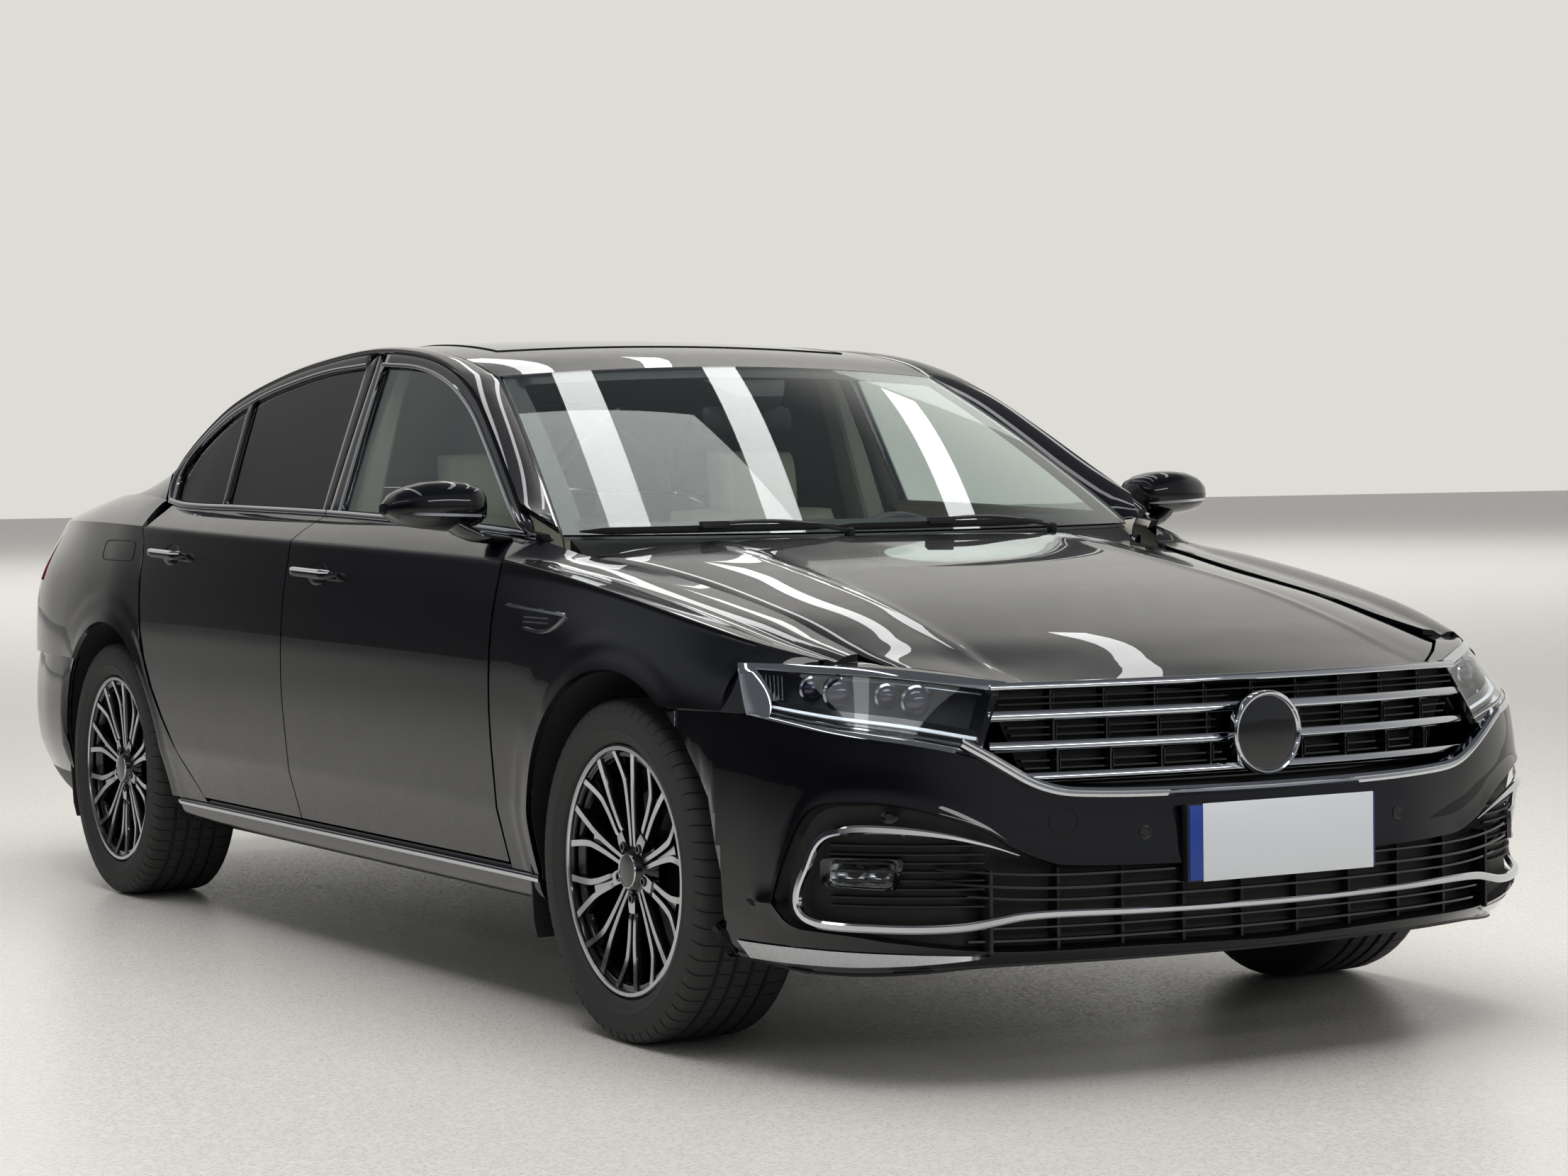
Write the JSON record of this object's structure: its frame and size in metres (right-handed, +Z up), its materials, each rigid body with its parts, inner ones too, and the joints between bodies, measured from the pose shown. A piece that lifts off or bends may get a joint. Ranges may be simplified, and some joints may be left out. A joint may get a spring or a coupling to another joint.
{
  "type": "four-door sedan car",
  "caption": "Full-size four-door saloon car with steered front wheels, opening doors, bonnet and boot lid.",
  "frame": {"origin": "on the ground, in the middle of the car's length and width", "axes": "+X to the car's left, +Y to its tail, +Z up"},
  "size_m": [2.18, 5.0722, 1.4869],
  "materials": {
    "black_paint": "gloss",
    "window_glass": "polished",
    "lamp_lens": "clear",
    "red_lens": "gloss",
    "bright_trim": "polished",
    "black_plastic": "satin",
    "steel": "satin",
    "engine_metal": "cast",
    "alloy": "machined",
    "tyre_rubber": "matte",
    "seat_leather": "soft",
    "wheel_leather": "soft"
  },
  "bodies": {
    "body": {"fenders": "black_paint", "quarter_panels": "black_paint", "side_frames": "black_paint", "roof": "black_paint", "front_bumper": "black_paint", "rear_bumper": "black_paint", "windscreen": "window_glass", "rear_window": "window_glass", "headlamps": "lamp_lens", "tail_lamps": "red_lens", "grilles": "bright_trim", "arch_liners": "black_plastic", "cowl": "black_plastic", "wipers": "black_plastic", "dashboard": "black_plastic", "floor_pan": "steel", "front_structure": "steel", "rear_suspension": "steel", "exhaust": "steel", "engine": "engine_metal", "front_seats": "seat_leather", "rear_seat": "seat_leather"},
    "bonnet": {"bonnet": "black_paint"},
    "boot_lid": {"boot_lid": "black_paint"},
    "steering_wheel": {"steering_wheel": "wheel_leather"},
    "knuckle_left": {"knuckle_left": "steel"},
    "knuckle_right": {"knuckle_right": "steel"},
    "front_door_left": {"door_front_left": "black_paint", "glass_front_left": "window_glass", "mirror_left": "black_paint"},
    "rear_door_left": {"door_rear_left": "black_paint", "glass_rear_left": "window_glass"},
    "front_door_right": {"door_front_right": "black_paint", "glass_front_right": "window_glass", "mirror_right": "black_paint"},
    "rear_door_right": {"door_rear_right": "black_paint", "glass_rear_right": "window_glass"},
    "wheel_front_left": {"tyre_front_left": "tyre_rubber", "rim_front_left": "alloy"},
    "wheel_front_right": {"tyre_front_right": "tyre_rubber", "rim_front_right": "alloy"},
    "wheel_rear_left": {"tyre_rear_left": "tyre_rubber", "rim_rear_left": "alloy"},
    "wheel_rear_right": {"tyre_rear_right": "tyre_rubber", "rim_rear_right": "alloy"}
  },
  "joints": [
    {"name": "front_door_left_hinge", "type": "hinge", "parent": "body", "child": "front_door_left", "pos_m": [0.941, -1.035, 0.62], "axis": [0, 0, -1], "range_deg": [0, 65]},
    {"name": "rear_door_left_hinge", "type": "hinge", "parent": "body", "child": "rear_door_left", "pos_m": [0.945, 0.13, 0.62], "axis": [0, 0, -1], "range_deg": [0, 65]},
    {"name": "front_door_right_hinge", "type": "hinge", "parent": "body", "child": "front_door_right", "pos_m": [-0.941, -1.035, 0.62], "axis": [0, 0, 1], "range_deg": [0, 65]},
    {"name": "rear_door_right_hinge", "type": "hinge", "parent": "body", "child": "rear_door_right", "pos_m": [-0.945, 0.13, 0.62], "axis": [0, 0, 1], "range_deg": [0, 65]},
    {"name": "bonnet_hinge", "type": "hinge", "parent": "body", "child": "bonnet", "pos_m": [0, -1.18, 0.985], "axis": [-1, 0, 0], "range_deg": [0, 50]},
    {"name": "boot_lid_hinge", "type": "hinge", "parent": "body", "child": "boot_lid", "pos_m": [0, 1.909, 1.09], "axis": [1, 0, 0], "range_deg": [0, 70]},
    {"name": "steer_left", "type": "hinge", "parent": "body", "child": "knuckle_left", "pos_m": [0.745, -1.587, 0.345], "axis": [0, 0, 1], "range_deg": [-35, 35]},
    {"name": "steer_right", "type": "hinge", "parent": "body", "child": "knuckle_right", "pos_m": [-0.745, -1.587, 0.345], "axis": [0, 0, 1], "range_deg": [-35, 35]},
    {"name": "steering_wheel_turn", "type": "hinge", "parent": "body", "child": "steering_wheel", "pos_m": [0.37, -0.52, 0.85], "axis": [0, 0.9272, 0.3746], "range_deg": [-500, 500]},
    {"name": "wheel_front_left_spin", "type": "hinge", "parent": "knuckle_left", "child": "wheel_front_left", "pos_m": [0.805, -1.587, 0.345], "axis": [1, 0, 0], "continuous": true},
    {"name": "wheel_front_right_spin", "type": "hinge", "parent": "knuckle_right", "child": "wheel_front_right", "pos_m": [-0.805, -1.587, 0.345], "axis": [1, 0, 0], "continuous": true},
    {"name": "wheel_rear_left_spin", "type": "hinge", "parent": "body", "child": "wheel_rear_left", "pos_m": [0.805, 1.422, 0.345], "axis": [1, 0, 0], "continuous": true},
    {"name": "wheel_rear_right_spin", "type": "hinge", "parent": "body", "child": "wheel_rear_right", "pos_m": [-0.805, 1.422, 0.345], "axis": [1, 0, 0], "continuous": true}
  ],
  "couplings": [
    {"joint": "steer_right", "follows": "steer_left", "ratio": 1},
    {"joint": "steering_wheel_turn", "follows": "steer_left", "ratio": 14}
  ]
}
